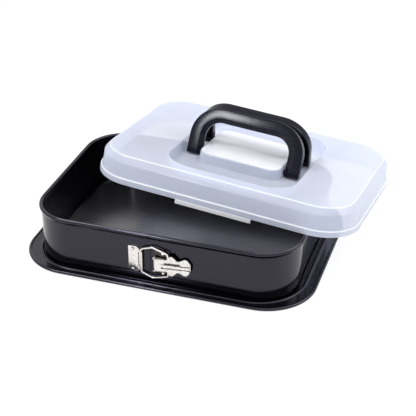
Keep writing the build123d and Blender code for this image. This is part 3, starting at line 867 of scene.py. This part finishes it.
def make_arch():
    """The bar itself. Its feet are round about the pivot, and drawn in a little at the bottom."""
    hollow, solid = handle_section(-3.8), handle_section(5.6)
    foot_r = 6.1
    most_inset, inset_below, over = 0.8, 4.4, 1.3
    middle = HANDLE_BAR / 2
    rows = []
    for p, n in arch_stations():
        limit = math.sqrt(max(foot_r ** 2 - min(p.y, 0) ** 2, 0.1))
        limit = min(HANDLE_T / 2, limit)
        inset = most_inset * smooth((-p.y - inset_below) / over)
        row = []
        for across, depth in solid if p.y < HOLLOW_FROM else hollow:
            across = middle + (across - middle) * (1 - inset / middle)
            depth = min(max(depth, -limit), limit)
            point = p + n * across
            row.append(Vector((point.x, depth, point.y)))
        rows.append(row)
    arch = skin(rows)
    bmesh.ops.remove_doubles(arch, verts=arch.verts, dist=0.001)
    return arch


def make_handle():
    """The bar with its ribs and the two trunnions that it turns on."""
    forms = [make_arch()]
    for x, drop in ((-40, 0.2), (-20, 0), (0, 0), (20, 0), (40, 0.2)):
        forms.append(handle_rib(Vector((x, INNER_TOP - drop)), UP))
    for side in (-1, 1):
        for up, inset in ((16, 0), (28, 1.2)):
            forms.append(handle_rib(Vector((side * (INNER_X - inset), up)), Vector((side, 0))))
        trunnion = lathe([(0.01, -53.5), (2.4, -53.5), (2.9, -53.9), (3.0, -54.4), (3.0, -60.6)])
        forms.append(moved(trunnion, turned(0, -90 * side, 0)))
    return merged(*forms)


def handle_pose(turn):
    place = Matrix.Translation((0, -PIVOT_Y, PIVOT_Z))
    return LID_POSE @ turned(turn) @ place @ turned(0, 0, -HANDLE_LEAN)


piece("front_handle_arch", moved(make_handle(), handle_pose(0)), (BLACK,), "front_grip",
      ["front_handle"])
piece("rear_handle_arch", moved(make_handle(), handle_pose(180)), (BLACK,), "rear_grip",
      ["rear_handle"])

# Carried-over node
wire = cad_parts["rim_wire"]
wire.data.materials.clear()
wire.data.materials.append(PLAIN)


# Floor, world, lamps and camera

def make_floor():
    """A pale floor. Camera and reflections see it as nearly white, and it lights the object softly."""
    bpy.ops.mesh.primitive_grid_add(x_subdivisions=2, y_subdivisions=2, size=8,
                                    location=(0, 0, -0.0002))
    floor = bpy.context.object
    floor.name = "floor"
    made, nodes, links, shader = material("floor")
    cloud = noise(nodes, links, scale=3)
    colour = ramp(nodes, links, cloud, (0.3, (0.83, 0.83, 0.84)), (0.7, (0.86, 0.86, 0.86)))
    links.new(colour, shader.inputs["Base Color"])
    shader.inputs["Roughness"].default_value = 0.9
    shader.inputs["Specular IOR Level"].default_value = 0.1
    sight = nodes.new("ShaderNodeLightPath")
    seen = larger(nodes, links, sight.outputs["Is Camera Ray"], sight.outputs["Is Glossy Ray"])
    glow = nodes.new("ShaderNodeEmission")
    glow.inputs["Strength"].default_value = 0.80
    pale = nodes.new("ShaderNodeBsdfDiffuse")
    pale.inputs["Color"].default_value = (0.26, 0.26, 0.26, 1)
    both = nodes.new("ShaderNodeAddShader")
    links.new(glow.outputs[0], both.inputs[0])
    links.new(pale.outputs[0], both.inputs[1])
    mix = nodes.new("ShaderNodeMixShader")
    links.new(seen, mix.inputs[0])
    links.new(shader.outputs[0], mix.inputs[1])
    links.new(both.outputs[0], mix.inputs[2])
    links.new(mix.outputs[0], nodes["Material Output"].inputs["Surface"])
    floor.data.materials.append(made)


def background(nodes, colour, strength):
    made = nodes.new("ShaderNodeBackground")
    made.inputs["Color"].default_value = colour
    made.inputs["Strength"].default_value = strength
    return made.outputs[0]


def make_world():
    """A white world where it is seen or mirrored, and a dimmer one for the light that it gives."""
    world = bpy.data.worlds.new("studio")
    bpy.context.scene.world = world
    world.use_nodes = True
    nodes, links = world.node_tree.nodes, world.node_tree.links
    nodes.clear()
    sight = nodes.new("ShaderNodeLightPath")
    seen = larger(nodes, links, sight.outputs["Is Camera Ray"], sight.outputs["Is Glossy Ray"])
    seen = larger(nodes, links, seen, sight.outputs["Is Transmission Ray"])
    mix = nodes.new("ShaderNodeMixShader")
    links.new(seen, mix.inputs[0])
    links.new(background(nodes, (0.94, 0.96, 1.0, 1), 0.50), mix.inputs[1])
    links.new(background(nodes, (1, 1, 1, 1), 1.0), mix.inputs[2])
    out = nodes.new("ShaderNodeOutputWorld")
    links.new(mix.outputs[0], out.inputs["Surface"])


def softbox(name, place, target, size, power):
    lamp = bpy.data.lights.new(name, "AREA")
    lamp.shape = "RECTANGLE"
    lamp.size, lamp.size_y = size
    lamp.energy = power
    made = bpy.data.objects.new(name, lamp)
    made.location = place
    made.rotation_euler = (Vector(target) - Vector(place)).to_track_quat("-Z", "Y").to_euler()
    bpy.context.scene.collection.objects.link(made)


def make_camera():
    """The photograph's view, from the fit to its outlines."""
    lens = bpy.data.cameras.new("camera")
    lens.lens = 99.26
    lens.sensor_width = 36.0
    made = bpy.data.objects.new("camera", lens)
    right = Vector((0.9512, 0.3087, 0.0)).normalized()
    ahead = Vector((-0.2652, 0.8169, -0.5122)).normalized()
    up = right.cross(ahead).normalized()
    right = ahead.cross(up).normalized()
    turn = Matrix((right, up, -ahead)).transposed().to_4x4()
    made.matrix_world = Matrix.Translation((0.4269, -1.2319, 0.8193)) @ turn
    bpy.context.scene.collection.objects.link(made)
    bpy.context.scene.camera = made


make_floor()
make_world()
make_camera()
softbox("overhead", (0.38, 0.12, 1.35), (0.10, 0.05, 0.05), size=(1.2, 1.1), power=8.5)
softbox("front_left", (-0.216, -0.60, 0.455), (0.02, 0.07, 0.14), size=(0.095, 0.11), power=1.43)
softbox("top_left", (-0.62, -0.10, 1.25), (0.0, 0.0, 0.05), size=(0.32, 0.45), power=7.0)
softbox("right", (0.95, 0.35, 0.85), (0.15, 0.08, 0.10), size=(0.8, 0.7), power=5.0)

bpy.context.scene.view_settings.view_transform = "Standard"
